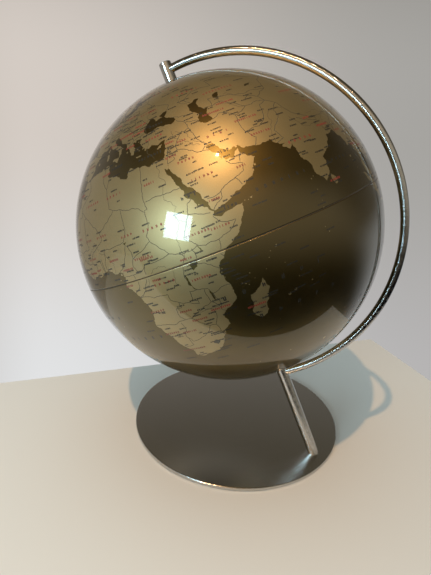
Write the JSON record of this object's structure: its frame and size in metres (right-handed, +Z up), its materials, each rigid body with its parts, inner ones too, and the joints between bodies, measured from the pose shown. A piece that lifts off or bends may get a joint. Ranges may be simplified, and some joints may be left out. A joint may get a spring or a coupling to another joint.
{
  "type": "desktop globe on stand",
  "caption": "Metallic world globe that turns on a tilted axis between a steel post and a bent meridian tube, on a round steel foot plate.",
  "frame": {"origin": "middle of the foot pad's underside, where the globe stands", "axes": "+Z up; the tilted globe axis lies parallel to the XZ plane, its north end towards -X and the meridian tube on the +X side; -Y is the side the globe is looked at from"},
  "size_m": [0.3207, 0.3101, 0.4159],
  "materials": {
    "stand_steel": "finely brushed stainless steel",
    "plate_steel": "satin stainless steel with a polished rim",
    "felt": "self-adhesive felt",
    "fastener_steel": "plain turned steel",
    "nylon": "dark nylon",
    "liner_brass": "turned brass",
    "shell_plastic": "moulded plastic",
    "bush_plastic": "moulded plastic",
    "map_print": "metallic bronze and gold print under a clear gloss coat"
  },
  "bodies": {
    "stand": {"foot_plate": "plate_steel", "foot_pad": "felt", "post": "stand_steel", "post_fixing_screw": "fastener_steel", "south_pivot_pin": "fastener_steel", "south_washer": "nylon", "meridian_tube": "stand_steel", "south_tube_spigot": "fastener_steel", "north_tube_spigot": "fastener_steel", "north_sleeve": "stand_steel", "north_sleeve_liner": "liner_brass", "north_sleeve_cap": "stand_steel", "north_pivot_pin": "fastener_steel", "north_washer": "nylon"},
    "globe": {"north_hemisphere": "shell_plastic", "south_hemisphere": "shell_plastic", "joining_ring": "shell_plastic", "north_map_skin": "map_print", "south_map_skin": "map_print", "north_pole_bush": "bush_plastic", "south_pole_bush": "bush_plastic", "north_bush_clip": "fastener_steel", "south_bush_clip": "fastener_steel"}
  },
  "joints": [
    {"name": "globe_spin", "type": "hinge", "parent": "stand", "child": "globe", "pos_m": [-0.0127, -0.03516, 0.2466], "axis": [-0.4289, 0, 0.9033], "continuous": true}
  ]
}
